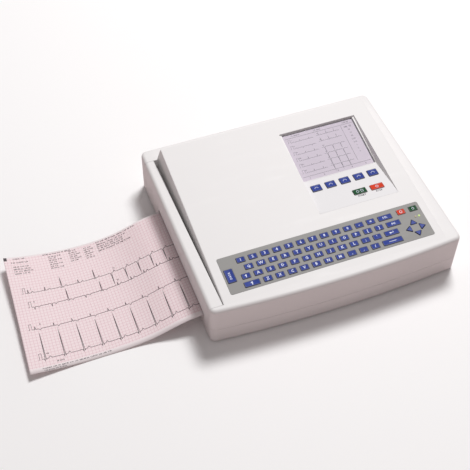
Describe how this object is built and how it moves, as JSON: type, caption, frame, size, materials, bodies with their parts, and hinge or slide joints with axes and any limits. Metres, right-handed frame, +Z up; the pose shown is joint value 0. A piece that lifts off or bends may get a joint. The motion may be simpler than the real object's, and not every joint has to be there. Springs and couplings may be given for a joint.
{
  "type": "ecg machine",
  "caption": "Portable desktop electrocardiograph with a full keyboard, a recessed screen with soft keys, and a side drawer that holds chart paper and prints.",
  "frame": {"origin": "under the middle of the casing, on the plane that the feet stand on", "axes": "+X to the operator's right, +Y to the back, +Z up; the operator sits at -Y and the paper leaves towards -X"},
  "size_m": [0.6432, 0.359, 0.1013],
  "materials": {
    "casing": "fine-grained warm white moulded plastic",
    "tray_plastic": "plain grey moulded plastic",
    "paper": "matt thermal chart paper with a printed pink grid",
    "platen_rubber": "smooth ground black rubber",
    "steel": "bright turned or sprung steel",
    "sheet_metal": "zinc-plated folded sheet",
    "bronze": "sintered bronze bush",
    "gear_plastic": "natural acetal",
    "motor_can": "black lacquered steel can",
    "head_black": "glossy black glazed printing bar",
    "overlay": "fine-textured warm grey printed panel",
    "panel": "fine-textured pale grey printed panel",
    "key_blue": "satin blue key with a printed legend",
    "key_green": "satin green key",
    "key_red": "satin red key",
    "key_mat_rubber": "grey silicone rubber",
    "board": "green solder mask on glass-epoxy board",
    "window": "clear anti-glare plastic pane",
    "screen": "pale violet liquid-crystal screen in a metal frame",
    "battery": "dark shrink-wrapped battery block",
    "transformer": "varnished iron laminations and taped winding",
    "socket_black": "black moulded plastic",
    "socket_shell": "bright tin-plated shell",
    "foot_rubber": "soft dark grey rubber"
  },
  "bodies": {
    "root": {"bottom_housing": "casing", "top_housing": "casing", "battery_cover": "casing", "drawer_rails": "tray_plastic", "stepper_motor": "motor_can", "head_pivot_rod": "steel", "head_springs": "steel", "printer_chassis": "sheet_metal", "keyboard_overlay": "overlay", "key_mat": "key_mat_rubber", "keyboard_board": "board", "softkey_panel": "panel", "softkey_board": "board", "display_window": "window", "display_module": "screen", "main_board": "board", "power_board": "board", "transformer": "transformer", "battery_pack": "battery", "mains_inlet": "socket_black", "patient_socket": "socket_shell", "serial_sockets": "socket_shell", "earth_stud": "steel", "rubber_feet": "foot_rubber", "case_screws": "steel"},
    "drawer": {"drawer_front": "casing", "paper_tray": "tray_plastic", "paper_stack": "paper", "paper_sheet": "paper", "platen_bearings": "bronze"},
    "platen": {"platen_roller": "platen_rubber", "platen_shaft": "steel", "platen_gear": "gear_plastic"},
    "idler": {"idler_gear": "gear_plastic"},
    "pinion": {"motor_pinion": "gear_plastic"},
    "head": {"print_head": "head_black", "head_bracket": "sheet_metal"},
    "letter_keys_row_1": {"letter_keys_row_1": "key_blue"},
    "letter_keys_row_2": {"letter_keys_row_2": "key_blue"},
    "letter_keys_row_3": {"letter_keys_row_3": "key_blue"},
    "letter_keys_row_4": {"letter_keys_row_4": "key_blue"},
    "delete_key": {"delete_key": "key_blue"},
    "new_line_key": {"new_line_key": "key_blue"},
    "enter_key": {"enter_key": "key_blue"},
    "space_key": {"space_key": "key_blue"},
    "shift_key": {"shift_key": "key_blue"},
    "patient_data_key": {"patient_data_key": "key_blue"},
    "up_key": {"up_key": "key_blue"},
    "left_key": {"left_key": "key_blue"},
    "down_key": {"down_key": "key_blue"},
    "right_key": {"right_key": "key_blue"},
    "off_key": {"off_key": "key_red"},
    "on_key": {"on_key": "key_green"},
    "soft_key_1": {"soft_key_1": "key_blue"},
    "soft_key_2": {"soft_key_2": "key_blue"},
    "soft_key_3": {"soft_key_3": "key_blue"},
    "soft_key_4": {"soft_key_4": "key_blue"},
    "soft_key_5": {"soft_key_5": "key_blue"},
    "start_key": {"start_key": "key_green"},
    "stop_key": {"stop_key": "key_red"}
  },
  "joints": [
    {"name": "drawer_slide", "type": "slide", "parent": "root", "child": "drawer", "axis": [-1, 0, 0], "range_m": [0, 0.26]},
    {"name": "platen_spin", "type": "hinge", "parent": "drawer", "child": "platen", "pos_m": [-0.176, 0, 0.0225], "axis": [0, 1, 0], "continuous": true},
    {"name": "idler_spin", "type": "hinge", "parent": "root", "child": "idler", "pos_m": [-0.15842, 0, 0.03225], "axis": [0, 1, 0], "continuous": true},
    {"name": "pinion_spin", "type": "hinge", "parent": "root", "child": "pinion", "pos_m": [-0.14032, 0, 0.03225], "axis": [0, 1, 0], "continuous": true},
    {"name": "head_lift", "type": "hinge", "parent": "root", "child": "head", "pos_m": [-0.144, 0, 0.041], "axis": [0, 1, 0], "range_deg": [0, 2.5], "stiffness_Nm_per_rad": 40, "springref_deg": -1.15, "deforming": ["head_springs"]},
    {"name": "letter_keys_row_1_press", "type": "slide", "parent": "root", "child": "letter_keys_row_1", "axis": [0, 0.0828, -0.9966], "range_m": [0, 0.001], "stiffness_N_per_m": 4800},
    {"name": "letter_keys_row_2_press", "type": "slide", "parent": "root", "child": "letter_keys_row_2", "axis": [0, 0.0828, -0.9966], "range_m": [0, 0.001], "stiffness_N_per_m": 4800},
    {"name": "letter_keys_row_3_press", "type": "slide", "parent": "root", "child": "letter_keys_row_3", "axis": [0, 0.0828, -0.9966], "range_m": [0, 0.001], "stiffness_N_per_m": 4800},
    {"name": "letter_keys_row_4_press", "type": "slide", "parent": "root", "child": "letter_keys_row_4", "axis": [0, 0.0828, -0.9966], "range_m": [0, 0.001], "stiffness_N_per_m": 4000},
    {"name": "delete_key_press", "type": "slide", "parent": "root", "child": "delete_key", "axis": [0, 0.0828, -0.9966], "range_m": [0, 0.001], "stiffness_N_per_m": 400},
    {"name": "new_line_key_press", "type": "slide", "parent": "root", "child": "new_line_key", "axis": [0, 0.0828, -0.9966], "range_m": [0, 0.001], "stiffness_N_per_m": 400},
    {"name": "enter_key_press", "type": "slide", "parent": "root", "child": "enter_key", "axis": [0, 0.0828, -0.9966], "range_m": [0, 0.001], "stiffness_N_per_m": 400},
    {"name": "space_key_press", "type": "slide", "parent": "root", "child": "space_key", "axis": [0, 0.0828, -0.9966], "range_m": [0, 0.001], "stiffness_N_per_m": 400},
    {"name": "shift_key_press", "type": "slide", "parent": "root", "child": "shift_key", "axis": [0, 0.0828, -0.9966], "range_m": [0, 0.001], "stiffness_N_per_m": 400},
    {"name": "patient_data_key_press", "type": "slide", "parent": "root", "child": "patient_data_key", "axis": [0, 0.0828, -0.9966], "range_m": [0, 0.001], "stiffness_N_per_m": 400},
    {"name": "up_key_press", "type": "slide", "parent": "root", "child": "up_key", "axis": [0, 0.0828, -0.9966], "range_m": [0, 0.001], "stiffness_N_per_m": 400},
    {"name": "left_key_press", "type": "slide", "parent": "root", "child": "left_key", "axis": [0, 0.0828, -0.9966], "range_m": [0, 0.001], "stiffness_N_per_m": 400},
    {"name": "down_key_press", "type": "slide", "parent": "root", "child": "down_key", "axis": [0, 0.0828, -0.9966], "range_m": [0, 0.001], "stiffness_N_per_m": 400},
    {"name": "right_key_press", "type": "slide", "parent": "root", "child": "right_key", "axis": [0, 0.0828, -0.9966], "range_m": [0, 0.001], "stiffness_N_per_m": 400},
    {"name": "off_key_press", "type": "slide", "parent": "root", "child": "off_key", "axis": [0, 0.0828, -0.9966], "range_m": [0, 0.001], "stiffness_N_per_m": 400},
    {"name": "on_key_press", "type": "slide", "parent": "root", "child": "on_key", "axis": [0, 0.0828, -0.9966], "range_m": [0, 0.001], "stiffness_N_per_m": 400},
    {"name": "soft_key_1_press", "type": "slide", "parent": "root", "child": "soft_key_1", "axis": [0, -0.0508, -0.9987], "range_m": [0, 0.001], "stiffness_N_per_m": 400},
    {"name": "soft_key_2_press", "type": "slide", "parent": "root", "child": "soft_key_2", "axis": [0, -0.0508, -0.9987], "range_m": [0, 0.001], "stiffness_N_per_m": 400},
    {"name": "soft_key_3_press", "type": "slide", "parent": "root", "child": "soft_key_3", "axis": [0, -0.0508, -0.9987], "range_m": [0, 0.001], "stiffness_N_per_m": 400},
    {"name": "soft_key_4_press", "type": "slide", "parent": "root", "child": "soft_key_4", "axis": [0, -0.0508, -0.9987], "range_m": [0, 0.001], "stiffness_N_per_m": 400},
    {"name": "soft_key_5_press", "type": "slide", "parent": "root", "child": "soft_key_5", "axis": [0, -0.0508, -0.9987], "range_m": [0, 0.001], "stiffness_N_per_m": 400},
    {"name": "start_key_press", "type": "slide", "parent": "root", "child": "start_key", "axis": [0, -0.0508, -0.9987], "range_m": [0, 0.001], "stiffness_N_per_m": 400},
    {"name": "stop_key_press", "type": "slide", "parent": "root", "child": "stop_key", "axis": [0, -0.0508, -0.9987], "range_m": [0, 0.001], "stiffness_N_per_m": 400}
  ],
  "couplings": [
    {"joint": "idler_spin", "follows": "platen_spin", "ratio": -0.66667},
    {"joint": "pinion_spin", "follows": "platen_spin", "ratio": 1.3333}
  ]
}
